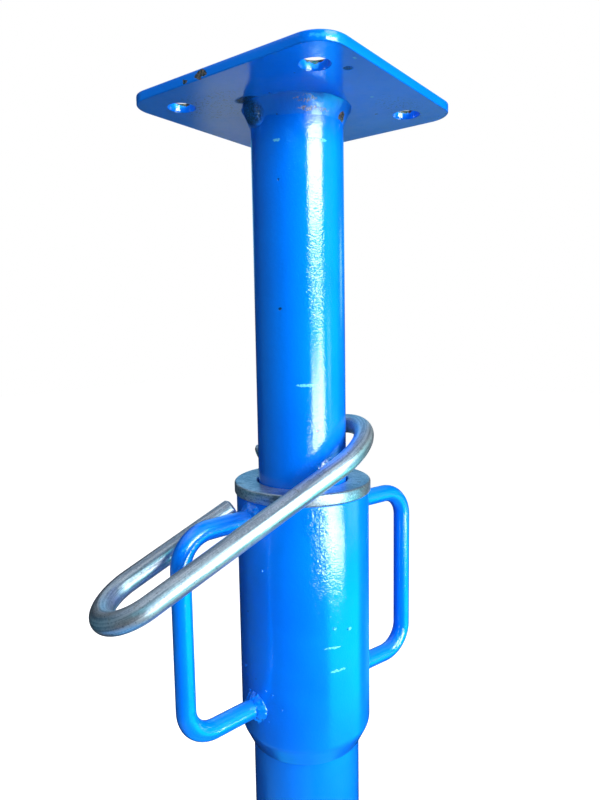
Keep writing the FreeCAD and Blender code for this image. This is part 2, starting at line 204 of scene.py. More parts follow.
def paintFinish(name, specks=0.5, peel=1.0, haze=bluePaint["coatRoughness"], **spots):
    # spots gives the places of each kind of mark that the piece has
    finish, shader, coords = newFinish(name)
    cloudy = ramp(grain(coords, *bluePaint["cloud"]), *bluePaint["cloudRange"])
    color = blendColors(cloudy, bluePaint["color"], bluePaint["deep"])
    smudge = grain(coords, *bluePaint["smudge"])
    roughness = ramp(smudge, *bluePaint["smudgeRange"], *bluePaint["roughness"])
    cells = joinNode("ShaderNodeTexVoronoi", {"Vector": coords, "Scale": bluePaint["speckScale"]})
    pick = joinNode("ShaderNodeSeparateColor", {0: cells["Color"]})[0]
    pick = ramp(pick, *(1.0 - share * specks for share in bluePaint["speckShare"]))
    speck = times(ramp(cells["Distance"], *bluePaint["speckSize"]), pick)
    color = blendColors(times(speck, bluePaint["speckCover"]), color, bluePaint["speck"])
    height = 0.0
    for settings, weight in bluePaint["peel"]:
        height = addShare(height, grain(coords, *settings), weight)
    height = times(height, peel)
    for kind, mark in paintMarks.items():
        if kind not in spots:
            continue
        mask = spotMask(coords, spots[kind], *mark["edge"])
        if "grain" in mark:
            broken = grain(coords, *mark["grain"])
            if "range" in mark:
                broken = ramp(broken, *mark["range"])
            mask = times(mask, broken)
        if "colors" in mark:
            tone = mark["colors"][0]
            if "mottle" in mark:
                mottle = ramp(grain(coords, *mark["mottle"]), *mark["mottleRange"])
                tone = blendColors(mottle, *mark["colors"])
            color = blendColors(times(mask, mark["cover"]), color, tone)
        if "rough" in mark:
            roughness = addShare(roughness, mask, mark["rough"])
        if "lift" in mark:
            height = addShare(height, mask, mark["lift"])
    bump = setFinish(shader, color, roughness, height, bluePaint["relief"], Coat_Weight=bluePaint["coat"],
                     Coat_Roughness=haze, Coat_IOR=bluePaint["coatIor"], Specular_Tint=bluePaint["sheenTint"])
    shader.id_data.links.new(bump, shader.inputs["Coat Normal"])
    return finish


zincCoat = {
    "dark": (0.34, 0.4, 0.48, 1),
    "pale": (0.66, 0.71, 0.77, 1),
    "toneRange": (0.44, 0.56),
    "stain": (0.34, 0.28, 0.22, 1),
    "stainNoise": (260, 4, 0.7),
    "stainRange": (0.58, 0.7),
    "stainCover": 0.4,
    "pit": (0.06, 0.09, 0.13, 1),
    "pitNoise": (1000, 2, 0.6),
    "pitRange": (0.63, 0.7),
    "pitCover": 0.6,
    "metallic": 0.85,
    "roughness": (0.3, 0.42),
    "relief": 0.00004,
    "rodStreaks": (22, 640, 1),
    "rodBands": (16, 210, 1),
    "ringStreaks": (160, 1100, 900),
    "ringTurn": (0, 0, 0.9),
    "weights": (0.5, 0.3, 0.2),  # streaks, bands and fine grain in the tone
}


def zincFinish(name, alongRod=False, stains=()):
    finish, shader, coords = newFinish(name)
    if alongRod:
        along = addNode(shader.id_data, "ShaderNodeUVMap", uv_map="Along").outputs[0]
        streaks = grain(stretched(along, zincCoat["rodStreaks"]), 1.0, 3, 0.55)
        bands = grain(stretched(along, zincCoat["rodBands"]), 1.0, 3, 0.55)
    else:
        streaks = grain(stretched(coords, zincCoat["ringStreaks"], zincCoat["ringTurn"]), 1.0, 4, 0.6)
        bands = grain(coords, 70, 3, 0.6)
    fine = grain(coords, 1100, 3, 0.6)
    tone = 0.0
    for part, weight in zip((streaks, bands, fine), zincCoat["weights"]):
        tone = addShare(tone, part, weight)
    color = blendColors(ramp(tone, *zincCoat["toneRange"]), zincCoat["dark"], zincCoat["pale"])
    stain = ramp(grain(coords, *zincCoat["stainNoise"]), *zincCoat["stainRange"])
    stain = times(stain, zincCoat["stainCover"])
    pits = ramp(grain(coords, *zincCoat["pitNoise"]), *zincCoat["pitRange"])
    if stains:
        there = spotMask(coords, stains, 0.012, 120, 0.8)
        there = times(there, ramp(streaks, 0.4, 0.6, 0.2, 0.8))
        stain = calc("MAXIMUM", stain, there)
    color = blendColors(stain, color, zincCoat["stain"])
    color = blendColors(times(pits, zincCoat["pitCover"]), color, zincCoat["pit"])
    roughness = ramp(bands, 0.35, 0.65, *zincCoat["roughness"])
    height = calc("SUBTRACT", addShare(streaks, fine, 0.6), pits)
    setFinish(shader, color, roughness, height, zincCoat["relief"], Metallic=zincCoat["metallic"])
    return finish


oilyCoat = {
    "dark": (0.2, 0.19, 0.18, 1),
    "pale": (0.42, 0.4, 0.38, 1),
    "grease": (0.06, 0.05, 0.04, 1),
    "greaseCover": 0.6,
    "turning": (30, 30, 1400),
    "roughness": (0.5, 0.28),
    "metallic": 0.85,
    "relief": 0.00005,
}


def oilySteelFinish(name):
    finish, shader, coords = newFinish(name)
    turned = grain(stretched(coords, oilyCoat["turning"]), 1.0, 3, 0.6)
    cloud = grain(coords, 60, 4, 0.6)
    color = blendColors(ramp(turned, 0.4, 0.6), oilyCoat["dark"], oilyCoat["pale"])
    grease = times(ramp(cloud, 0.45, 0.65), oilyCoat["greaseCover"])
    color = blendColors(grease, color, oilyCoat["grease"])
    roughness = ramp(cloud, 0.3, 0.7, *oilyCoat["roughness"])
    setFinish(shader, color, roughness, turned, oilyCoat["relief"], Metallic=oilyCoat["metallic"])
    return finish


# Meshes

def newMesh(name, vertices, faces=()):
    mesh = bpy.data.meshes.new(name)
    mesh.from_pydata(vertices, [], faces)
    return mesh


def mendMesh(mesh, merge=0.0):
    # Doubles are merged where a distance is given, and faces point outwards
    work = bmesh.new()
    work.from_mesh(mesh)
    if merge:
        bmesh.ops.remove_doubles(work, verts=work.verts, dist=merge)
    bmesh.ops.recalc_face_normals(work, faces=work.faces)
    work.to_mesh(mesh)
    work.free()


def addObject(name, data):
    made = bpy.data.objects.new(name, data)
    scene.collection.objects.link(made)
    return made


def addPiece(name, mesh, finish, sharpAngle=35):
    mesh.polygons.foreach_set("use_smooth", [True] * len(mesh.polygons))
    mesh.set_sharp_from_angle(angle=math.radians(sharpAngle))
    # Level faces are flat after that, so that they mirror as planes
    mesh.polygons.foreach_set("use_smooth", [abs(face.normal.z) < 0.9999 for face in mesh.polygons])
    if finish:
        mesh.materials.clear()
        mesh.materials.append(finish)
    return addObject(name, mesh)


def meshPiece(name, vertices, faces, finish, sharpAngle=35):
    mesh = newMesh(name, vertices, faces)
    mendMesh(mesh, 1e-6)
    return addPiece(name, mesh, finish, sharpAngle)


def polar(radius, angle, z):
    return Vector((radius * math.cos(angle), radius * math.sin(angle), z))


def roundAngles(count):
    return [fullTurn * step / count for step in range(count)]


def rotated(spot, angle):
    return Vector((spot.x * math.cos(angle) - spot.y * math.sin(angle),
                   spot.x * math.sin(angle) + spot.y * math.cos(angle)))


def roundedOutline(corners, steps):
    # Closed outline from corners (radius, height, rounding); each rounding is a tangent arc
    outline = []
    count = len(corners)
    for index, (x, z, rounding) in enumerate(corners):
        here = Vector((x, z))
        if not rounding:
            outline.append(here)
            continue
        before = (Vector(corners[index - 1][:2]) - here).normalized()
        after = (Vector(corners[(index + 1) % count][:2]) - here).normalized()
        opening = before.angle(after)
        centre = here + (before + after).normalized() * rounding / math.sin(opening / 2)
        start = here + before * (rounding / math.tan(opening / 2)) - centre
        side = 1 if start.y * before.x - start.x * before.y > 0 else -1
        outline += [centre + rotated(start, side * (math.pi - opening) * step / steps) for step in range(steps + 1)]
    return outline


def gridFaces(rows, columns, closedRows=True):
    faces = []
    for row in range(rows if closedRows else rows - 1):
        for column in range(columns):
            right = (column + 1) % columns
            below = (row + 1) % rows
            faces.append((row * columns + column, below * columns + column,
                          below * columns + right, row * columns + right))
    return faces


def turnedPiece(name, outline, finish, sides, sharpAngle=35, shift=None):
    vertices = []
    for angle in roundAngles(sides):
        for x, z in outline:
            vertices.append(polar(x + (shift(angle, x, z) if shift else 0), angle, z))
    return meshPiece(name, vertices, gridFaces(sides, len(outline)), finish, sharpAngle)


def plainRing(name, shape, foot, top, finish):
    bore, outer = shape["bore"], shape["outer"]
    outline = roundedOutline([
        (bore, foot, shape["boreEdge"]), (outer, foot, shape["edge"]),
        (outer, top, shape["edge"]), (bore, top, shape["boreEdge"]),
    ], shape["edgeSteps"])
    return turnedPiece(name, outline, finish, shape["sides"])


def dress(piece, body, slot, *nodes):
    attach(piece, body)
    if nodes:
        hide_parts(*nodes)


# Geometry Nodes

def newTree(name, inputs):
    tree = bpy.data.node_groups.new(name, "GeometryNodeTree")
    tree.interface.new_socket("Geometry", in_out="INPUT", socket_type="NodeSocketGeometry")
    for label, kind, value in inputs:
        socket = tree.interface.new_socket(label, in_out="INPUT", socket_type="NodeSocket" + kind)
        if value is not None:
            socket.default_value = value
    tree.interface.new_socket("Geometry", in_out="OUTPUT", socket_type="NodeSocketGeometry")
    return tree, addNode(tree, "NodeGroupInput").outputs


def closeTree(tree, geometry, finish):
    realized = joinNode("GeometryNodeRealizeInstances", {0: geometry})[0]
    painted = joinNode("GeometryNodeSetMaterial", {0: realized, "Material": finish})[0]
    addNode(tree, "NodeGroupOutput", {0: painted})
    return tree


def bakedMesh(source):
    mesh = bpy.data.meshes.new_from_object(source.evaluated_get(bpy.context.evaluated_depsgraph_get()))
    source.modifiers.clear()
    bpy.data.objects.remove(source)
    return mesh


def bakeTree(source, tree, values, name, sharpAngle=35):
    modifier = source.modifiers.new(tree.name, "NODES")
    modifier.node_group = tree
    for socket in tree.interface.items_tree:
        if socket.in_out == "INPUT" and socket.name in values:
            modifier[socket.identifier] = values[socket.name]
    mesh = bakedMesh(source)
    mesh.name = name
    return addPiece(name, mesh, None, sharpAngle)


def namedValue(tree, name):
    return addNode(tree, "GeometryNodeInputNamedAttribute", {"Name": name}, data_type="FLOAT").outputs["Attribute"]


beadInputs = ("Ripples", "Ripple Height", "Lump Size", "Lump Height", "Seed")


def beadTree():
    # Turns a smooth bead into a run of overlapping weld ripples with lumps
    tree, given = newTree("weldBead", [(label, "Float", 1.0) for label in beadInputs] + [
        ("Material", "Material", None)])
    place = addNode(tree, "GeometryNodeInputPosition").outputs[0]
    scale = calc("DIVIDE", 1.0, given["Lump Size"])
    shake = joinNode("ShaderNodeTexNoise", {"Vector": place, "W": given["Seed"], "Scale": scale, "Detail": 2.0},
                     noise_dimensions="4D")["Fac"]
    phase = addShare(times(namedValue(tree, "along"), given["Ripples"]), shake, 2.4)
    saw = calc("FRACT", phase)
    rounded = times(calc("SUBTRACT", 1.0, saw), times(saw, 4.0))
    ripples = times(rounded, given["Ripple Height"])
    lumps = times(calc("SUBTRACT", shake, 0.5), given["Lump Height"])
    normal = addNode(tree, "GeometryNodeInputNormal").outputs[0]
    offset = scaleVector(normal, addShare(ripples, lumps, 2.0))
    moved = joinNode("GeometryNodeSetPosition", {"Geometry": given["Geometry"], "Offset": offset})[0]
    return closeTree(tree, moved, given["Material"])


def dropTree():
    # Round drops on given points, each as large as its point says
    tree, given = newTree("drops", [("Size", "Float", 1.0), ("Seed", "Int", 3), ("Material", "Material", None)])
    drop = addNode(tree, "GeometryNodeMeshIcoSphere", {"Radius": 1.0, "Subdivisions": 3}).outputs[0]
    spread = joinNode("FunctionNodeRandomValue", {2: 0.85, 3: 1.15, "Seed": given["Seed"]}, data_type="FLOAT")[1]
    scale = times(times(namedValue(tree, "size"), given["Size"]), spread)
    placed = joinNode("GeometryNodeInstanceOnPoints", {"Points": given["Geometry"], "Instance": drop, "Scale": scale})
    return closeTree(tree, placed[0], given["Material"])


weldBead = beadTree()
dropScatter = dropTree()


def setPoints(mesh, name, values):
    mesh.attributes.new(name, "FLOAT", "POINT").data.foreach_set("value", values)


def sweepRing(rings, name, finish, bead):
    # Closed bead from rings of one outline each, then rippled by the weld tree
    columns = len(rings[0])
    mesh = newMesh(name, [spot for ring in rings for spot in ring], gridFaces(len(rings), columns))
    setPoints(mesh, "along", [row / len(rings) for row in range(len(rings)) for _ in range(columns)])
    mendMesh(mesh)
    mesh.polygons.foreach_set("use_smooth", [True] * len(mesh.polygons))
    values = dict(zip(beadInputs, bead), Material=finish)
    return bakeTree(addObject(name + "_smooth", mesh), weldBead, values, name, 50)


def scatterDrops(name, spots, finish, seed):
    mesh = newMesh(name, [place for place, size in spots])
    setPoints(mesh, "size", [size for place, size in spots])
    return bakeTree(addObject(name + "_points", mesh), dropScatter, {"Seed": seed, "Material": finish}, name, 80)


print("stage: finishes and trees ready")


# Camera, as fitted to the photograph, in the prop's frame

cameraFit = {"place": (0.0, -0.33888, 0.08219), "yaw": -0.002, "pitch": -0.114, "roll": -0.016,
             "lens": 28.096, "sensor": 36, "nearClip": 0.02, "turn": 37.1}


def addCamera():
    yaw, pitch, roll = cameraFit["yaw"], cameraFit["pitch"], cameraFit["roll"]
    forward = Vector((math.sin(yaw) * math.cos(pitch), math.cos(yaw) * math.cos(pitch), math.sin(pitch)))
    level = Vector((math.cos(yaw), -math.sin(yaw), 0))
    upward = level.cross(forward)
    right = math.cos(roll) * level + math.sin(roll) * upward
    top = -math.sin(roll) * level + math.cos(roll) * upward
    basis = Matrix((right, top, -forward)).transposed().to_4x4()
    basis.translation = Vector(cameraFit["place"])
    settings = bpy.data.cameras.new("camera")
    settings.lens = cameraFit["lens"]
    settings.sensor_width = cameraFit["sensor"]
    settings.clip_start = cameraFit["nearClip"]
    camera = addObject("camera", settings)
    camera.matrix_world = stand(cameraFit["turn"], washerTop) @ basis
    scene.camera = camera


def stand(heading, z):
    return Matrix.Translation((0, 0, z)) @ Matrix.Rotation(math.radians(heading), 4, "Z")


def besideCamera(turn):
    # Heading that many degrees to the right of the camera
    return math.radians(cameraFit["turn"] + turn - 90)


def sideways(turn, tilt=0.0):
    lift = math.radians(tilt)
    return polar(math.cos(lift), besideCamera(turn), math.sin(lift))


addCamera()


# End plates

plateShape = {"side": 0.123, "corner": 0.0145, "cornerSteps": 14, "spacing": 0.083, "hole": 0.007, "holeSteps": 40,
              "edge": 0.0006, "edgeSteps": 3, "holeEdge": 0.3}


def arcPoints(centre, radius, start, swing, steps):
    return [centre + polar(radius, start + swing * step / steps, 0) for step in range(steps + 1)]


def endPlate(name, height, finish):
    curve = bpy.data.curves.new(name, "CURVE")
    curve.dimensions = "2D"
    curve.fill_mode = "BOTH"
    edge = plateShape["edge"]
    curve.extrude = plateThick / 2 - edge
    curve.bevel_depth = edge
    curve.bevel_resolution = plateShape["edgeSteps"]
    curve.offset = -edge
    inner = plateShape["side"] / 2 - plateShape["corner"]
    outline = []
    for quarter, (x, y) in enumerate(((1, 1), (-1, 1), (-1, -1), (1, -1))):
        outline += arcPoints(Vector((x, y, 0)) * inner, plateShape["corner"], quarter * math.pi / 2, math.pi / 2,
                             plateShape["cornerSteps"])
    half, hole = plateShape["spacing"] / 2, plateShape["hole"]
    loops = [outline]
    for across in (-half, half):
        for along in (-half, half):
            loops.append(arcPoints(Vector((across, along, 0)), hole, 0, fullTurn, plateShape["holeSteps"])[:-1])
    for loop in loops:
        line = curve.splines.new("POLY")
        line.points.add(len(loop) - 1)
        for point, spot in zip(line.points, loop):
            point.co = (spot.x, spot.y, 0, 1)
        line.use_cyclic_u = True
    mesh = bakedMesh(addObject(name + "_outline", curve))
    mendMesh(mesh, 1e-6)
    for vertex in mesh.vertices:
        across, along = (math.copysign(half, value) for value in vertex.co.xy)
        out = Vector((vertex.co.x - across, vertex.co.y - along))
        if out.length < hole + 2 * edge:
            out.length = hole + (out.length - hole) * plateShape["holeEdge"]
            vertex.co.xy = (across + out.x, along + out.y)
    mesh.transform(Matrix.Translation((0, 0, height + plateThick / 2)))
    return addPiece(name, mesh, finish, 30)


def holeRust(across, along):
    # Bare metal on the upper lip of a hole, on the side away from the camera
    away = -sideways(0) * plateShape["hole"]
    return ((across + away.x, along + away.y, headUnderside + plateThick), (0.0048, 0.0048, 0.0016))


boltLine = plateShape["spacing"] / 2
headMarks = {
    "chips": [((-0.0072, -0.0615, 1.5974), (0.0045, 0.002, 0.0019)),
              ((-0.0175, -0.0615, 1.5968), (0.0018, 0.002, 0.0009)),
              ((0.03, 0.0297, 1.5955), (0.0008, 0.0008, 0.002)),
              holeRust(boltLine, -boltLine), holeRust(-boltLine, -boltLine), holeRust(boltLine, boltLine)],
    # Dark navy pit and patch beside the weld's lump: partly dirt and partly painted shade
    "grimeAndShade": [((0.0504, -0.0291, 1.5955), (0.0026, 0.0026, 0.003)),
              ((-0.0085, -0.029, 1.5955), (0.0075, 0.005, 0.002))],
    # Two light specks painted bright cyan: partly paint marks and partly painted glints
    "rubsAndGlints": [((0.0581, -0.0359, 1.5955), (0.001, 0.001, 0.002)),
             ((0.0409, 0.0072, 1.5955), (0.0009, 0.0009, 0.002))],
    "dusty": [((-0.028, -0.033, 1.5955), (0.033, 0.026, 0.003)), ((0.044, 0.03, 1.5955), (0.016, 0.03, 0.003))],
}
headPaint = paintFinish("headPlatePaint", specks=0.8, peel=0.6, **headMarks)
footPaint = paintFinish("footPlatePaint", specks=1.0)
dress(endPlate("headPlate", headUnderside, headPaint), "inner_post", "blue_paint", "head_plate")
dress(endPlate("footPlate", 0.0, footPaint), "outer_post", "blue_paint", "base_plate")


# Fillet welds round the tubes

filletShape = {"steps": 240, "arcSteps": 12, "sink": 0.0012, "bury": 0.0006, "bow": 1.6,
               "lumpSwell": 0.3, "lumpBow": 0.9, "lumpTurn": -56, "lumpWidth": 13}


def bowedArc(radius, reach, rise, bow, steps):
    turns = [math.pi / 2 * step / steps for step in range(steps + 1)]
    return [(radius + reach * math.cos(turn) ** bow, rise * math.sin(turn) ** bow) for turn in turns]


def filletRing(name, height, radius, upwards, shape, finish, lump=None):
    # shape gives the legs along the plate and the tube, and what the weld tree is set to
    reach, rise, bow = shape["reach"], shape["rise"], shape.get("bow", filletShape["bow"])
    foot, sign = radius - filletShape["sink"], 1 if upwards else -1
    rings = []
    for angle in roundAngles(filletShape["steps"]):
        here = lump(angle) if lump else 0.0
        swell, curve = 1.0 + filletShape["lumpSwell"] * here, bow + (filletShape["lumpBow"] - bow) * here
        outline = bowedArc(radius, reach * swell, rise * swell, curve, filletShape["arcSteps"])
        outline = [(foot, -filletShape["bury"]), *outline, (foot, rise * swell)]
        rings.append([polar(x, angle, height + sign * z) for x, z in outline])
    return sweepRing(rings, name, finish, shape["bead"])


def headLump(angle):
    # The bead's start and stop, a lump on the camera's left
    away = math.degrees(angle - besideCamera(filletShape["lumpTurn"]))
    return math.exp(-(((away + 180) % 360 - 180) / filletShape["lumpWidth"]) ** 4)


# bead: the values of beadInputs
headWeldShape = {"reach": 0.0044, "rise": 0.0088, "bow": 2.3, "bead": (40.0, 0.00006, 0.011, 0.0008, 2.0)}
footWeldShape = {"reach": 0.0056, "rise": 0.0058, "bead": (66.0, 0.00035, 0.008, 0.0008, 5.0)}
headWeldMarks = {
    "chips": [((0.0242, 0.005, 1.588), (0.0034, 0.0034, 0.0044))],
    "scuffs": [((0.0188, -0.0178, 1.593), (0.0062, 0.0066, 0.0016)),
               ((0.0205, -0.0135, 1.5892), (0.0088, 0.0098, 0.0013))],
    # Dark navy patch on the bead's lump: painted shade, partly dirt
    "grimeAndShade": [((-0.0085, -0.027, 1.59), (0.0085, 0.007, 0.0075))],
}
headWeldPaint = paintFinish("headWeldPaint", peel=1.3, haze=0.22, **headWeldMarks)
footWeldPaint = paintFinish("footWeldPaint", peel=1.6)
dress(filletRing("headWeld", headUnderside, innerRadius, False, headWeldShape, headWeldPaint, headLump),
      "inner_post", "blue_paint", "head_weld")
dress(filletRing("footWeld", plateThick, outerRadius, True, footWeldShape, footWeldPaint),
      "outer_post", "blue_paint", "base_weld")


# Inner tube, with its row of cross holes

innerShape = {"outer": innerRadius, "inner": 0.02095, "hole": 0.0065, "heading": 65.3, "pitch": 0.1, "count": 12,
              "topHole": 1.3795, "patch": 0.01, "patchColumns": 12, "sideColumns": 36, "rings": 3, "spread": 1.3}


def wallAngles():
    # Column headings round the tube: a patch round each hole and plain wall between
    half = innerShape["patch"] / innerShape["outer"]
    patch, side = innerShape["patchColumns"], innerShape["sideColumns"]
    angles = [-half + 2 * half * step / patch for step in range(patch)]
    angles += [half + (math.pi - 2 * half) * step / side for step in range(side)]
    angles += [angle + math.pi for angle in angles]
    return [angle + math.radians(innerShape["heading"]) for angle in angles]


def plainEnds(lowest, highest):
    # The lengths below and above the drilled ones, each open where it meets them
    angles = wallAngles()
    outer, inner = innerShape["outer"], innerShape["inner"]
    vertices, faces = [], []
    for low, high, openRing in ((plateThick, lowest, 3), (highest, headUnderside, 1)):
        start = len(vertices)
        for radius, z in ((outer, high), (outer, low), (inner, low), (inner, high)):
            vertices += [polar(radius, angle, z) for angle in angles]
        for index, face in enumerate(gridFaces(4, len(angles))):
            if index // len(angles) != openRing:
                faces.append(tuple(start + corner for corner in face))
    return meshPiece("plainEnds", vertices, faces, None)


def drilledLength():
    # One pitch of the tube, centred on its two holes, at height 0
    vertices, faces = [], []
    angles = wallAngles()
    patch, side = innerShape["patchColumns"], innerShape["sideColumns"]
    reach, drill = innerShape["patch"], innerShape["hole"]
    rows = [-reach + 2 * reach * step / patch for step in range(patch + 1)]
    half = innerShape["pitch"] / 2

    def quad(*spots):
        start = len(vertices)
        vertices.extend(spots)
        faces.append(tuple(range(start, start + len(spots))))

    def band(near, far):
        for index in range(len(near)):
            after = (index + 1) % len(near)
            quad(near[index], near[after], far[after], far[index])

    def wall(radius, first, second, low, high):
        quad(polar(radius, first, low), polar(radius, second, low),
             polar(radius, second, high), polar(radius, first, high))

    for radius in (innerShape["outer"], innerShape["inner"]):
        for column, first in enumerate(angles):
            second = angles[(column + 1) % len(angles)]
            wall(radius, first, second, -half, -reach)
            wall(radius, first, second, reach, half)
            if column % (patch + side) >= patch:
                for low, high in zip(rows, rows[1:]):
                    wall(radius, first, second, low, high)
    edgeAngle = reach / innerShape["outer"]
    shares = [-1 + 2 * step / patch for step in range(patch)]
    square = [(share, -1) for share in shares] + [(1, share) for share in shares]
    square += [(-across, -up) for across, up in square]
    for middle in (0, math.pi):
        centre = math.radians(innerShape["heading"]) + middle
        rims = []
        for radius in (innerShape["outer"], innerShape["inner"]):
            rings = []
            for ring in range(innerShape["rings"] + 1):
                share = (ring / innerShape["rings"]) ** innerShape["spread"]
                spots = []
                for index, (across, up) in enumerate(square):
                    turn = -0.75 * math.pi + fullTurn * index / len(square)
                    lean = math.asin(drill * math.cos(turn) / radius)
                    lift = drill * math.sin(turn)
                    spots.append(polar(radius, centre + lean + (across * edgeAngle - lean) * share,
                                       lift + (up * reach - lift) * share))
                rings.append(spots)
            for near, far in zip(rings, rings[1:]):
                band(near, far)
            rims.append(rings[0])
        band(*rims)
    return vertices, faces


def drillTree():
    # Repeats the drilled length up the tube and joins the plain ends to it
    tree, given = newTree("drilledTube", [
        ("Holes", "Int", 12), ("Lowest Hole", "Float", 0.2795), ("Pitch", "Float", 0.1),
        ("Plain Ends", "Object", None), ("Material", "Material", None),
    ])
    start, step = (joinNode("ShaderNodeCombineXYZ", {"Z": given[name]})[0] for name in ("Lowest Hole", "Pitch"))
    line = joinNode("GeometryNodeMeshLine", {"Count": given["Holes"], "Start Location": start, "Offset": step})[0]
    lengths = joinNode("GeometryNodeInstanceOnPoints", {"Points": line, "Instance": given["Geometry"]})[0]
    solid = joinNode("GeometryNodeRealizeInstances", {0: lengths})[0]
    ends = joinNode("GeometryNodeObjectInfo", {"Object": given["Plain Ends"]})["Geometry"]
    joined = addNode(tree, "GeometryNodeJoinGeometry")
    tree.links.new(solid, joined.inputs[0])
    tree.links.new(ends, joined.inputs[0])
    merged = joinNode("GeometryNodeMergeByDistance", {"Geometry": joined.outputs[0], "Distance": 2e-6})[0]
    return closeTree(tree, merged, given["Material"])


def innerTube(finish):
    source = meshPiece("drilledLength", *drilledLength(), None)
    lowest = innerShape["topHole"] - innerShape["pitch"] * (innerShape["count"] - 1)
    half = innerShape["pitch"] / 2
    ends = plainEnds(lowest - half, innerShape["topHole"] + half)
    values = {"Holes": innerShape["count"], "Lowest Hole": lowest, "Pitch": innerShape["pitch"],
              "Plain Ends": ends, "Material": finish}
    piece = bakeTree(source, drillTree(), values, "innerTube")
    bpy.data.objects.remove(ends)
    mendMesh(piece.data)
    return piece


innerMarks = {
    "speckled": [((0.0205, -0.0128, 1.508), (0.011, 0.011, 0.038)),
                 ((0.0205, -0.0128, 1.415), (0.013, 0.013, 0.008))],
    "chips": [((0.0205, -0.0128, 1.4313), (0.0009, 0.0012, 0.0006))],
    # Two small dark navy dots, made with the same mark that paints shade elsewhere
    "grimeAndShade": [((0.0056, -0.0235, 1.5567), (0.0008, 0.0008, 0.0007)),
              ((0.0053, -0.0236, 1.4936), (0.001, 0.001, 0.0009))],
    # Rub and scratch marks painted bright cyan: partly wear and partly painted glints
    "rubsAndGlints": [((0.0175, -0.0165, 1.455), (0.0068, 0.0075, 0.0009)),
             ((0.0213, -0.0113, 1.5752), (0.0045, 0.0062, 0.0009)),
             ((0.0049, -0.0236, 1.5752), (0.0024, 0.0012, 0.0008))],
}
innerPaint = paintFinish("innerTubePaint", **innerMarks)
dress(innerTube(innerPaint), "inner_post", "blue_paint", "inner_tube")
print("stage: plates, head weld and inner tube")


# Outer tube with its rolled groove

outerShape = {"outer": outerRadius, "wall": 0.0032, "sides": 128, "grooveFoot": 1.1685, "width": 0.016,
              "depth": 0.0021, "flatten": 1.15, "grooveSteps": 24}


def outerTube(finish):
    outer = outerShape["outer"]
    inner = outer - outerShape["wall"]
    groove = []
    for step in range(outerShape["grooveSteps"] + 1):
        share = step / outerShape["grooveSteps"]
        dip = 0.5 - 0.5 * math.cos(fullTurn * share)
        groove.append((outerShape["grooveFoot"] + outerShape["width"] * share,
                       outerShape["depth"] * min(1.0, dip * outerShape["flatten"])))
    outline = [(inner, plateThick), (outer, plateThick)]
    outline += [(outer - dip, z) for z, dip in groove]
    outline += [(outer, threadFoot), (inner, threadFoot)]
    outline += [(inner - dip, z) for z, dip in reversed(groove)]
    return turnedPiece("outerTube", [Vector(spot) for spot in outline], finish, outerShape["sides"])


dress(outerTube(paintFinish("outerTubePaint", specks=0.8)), "outer_post", "blue_paint", "outer_tube")


# Thread: one right-hand helix that the head carries outside and the collar inside

threadShape = {"pitch": 0.008, "maleRoot": 0.0304, "maleCrest": 0.03145, "femaleCrest": 0.03095,
               "femaleRoot": 0.0323, "maleTooth": 0.22, "femaleGap": 0.31, "flank": 0.07}
screwShape = {"bore": 0.02425, "spigot": 0.0269, "spigotLength": 0.016, "chamfer": 0.0008, "runOut": 0.0016,
             "lift": 0.0001, "rows": 104, "sides": 120}


def toothShare(angle, z, width):
    # 1 on the thread's crest line and 0 between, with sloped flanks
    turn = (z / threadShape["pitch"] - angle / fullTurn) % 1.0
    return min(1.0, max(0.0, (width + threadShape["flank"] / 2 - abs(turn - 0.5)) / threadShape["flank"]))


def threadedHead(finish):
    foot, top = threadFoot, collarTop
    root, lift, runOut = threadShape["maleRoot"], screwShape["lift"], screwShape["runOut"]
    bore, spigot, chamfer = screwShape["bore"], screwShape["spigot"], screwShape["chamfer"]
    spigotFoot = foot - screwShape["spigotLength"]

    def carve(angle, x, z):
        if x < root:
            return 0
        fade = min(1.0, (top - z) / runOut, (z - foot) / runOut)
        tooth = toothShare(angle, z, threadShape["maleTooth"])
        return (threadShape["maleCrest"] - root) * tooth * max(0.0, fade) - lift

    rows = screwShape["rows"]
    outline = [(bore, spigotFoot), (spigot, spigotFoot), (spigot, foot)]
    outline += [(root + lift, foot + (top - foot) * row / rows) for row in range(rows + 1)]
    outline += [(bore + chamfer, top), (bore, top - chamfer)]
    outline = [Vector(spot) for spot in outline]
    return turnedPiece("threadedHead", outline, finish, screwShape["sides"], 60, carve)


threadWeldShape = {"reach": 0.0011, "rise": 0.0019, "bead": (60.0, 0.0001, 0.006, 0.0002, 7.0)}
oilySteel = oilySteelFinish("oilySteel")
dress(threadedHead(oilySteel), "outer_post", "bare_steel", "threaded_head")
dress(filletRing("threadWeld", threadFoot, outerRadius, False, threadWeldShape, oilySteel),
      "outer_post", "bare_steel", "threaded_head_weld")


# Collar

collarShape = {"lip": 0.03065, "lipHeight": 0.01, "lipSlope": 0.0012, "drawnIn": 0.0102, "shoulder": 0.008,
               "footWall": 0.0009, "rimEdge": 0.0003, "topEdge": 0.0005, "edgeSteps": 7, "mouth": 0.0006,
               "runOut": 0.002, "rows": 260, "sides": 144}


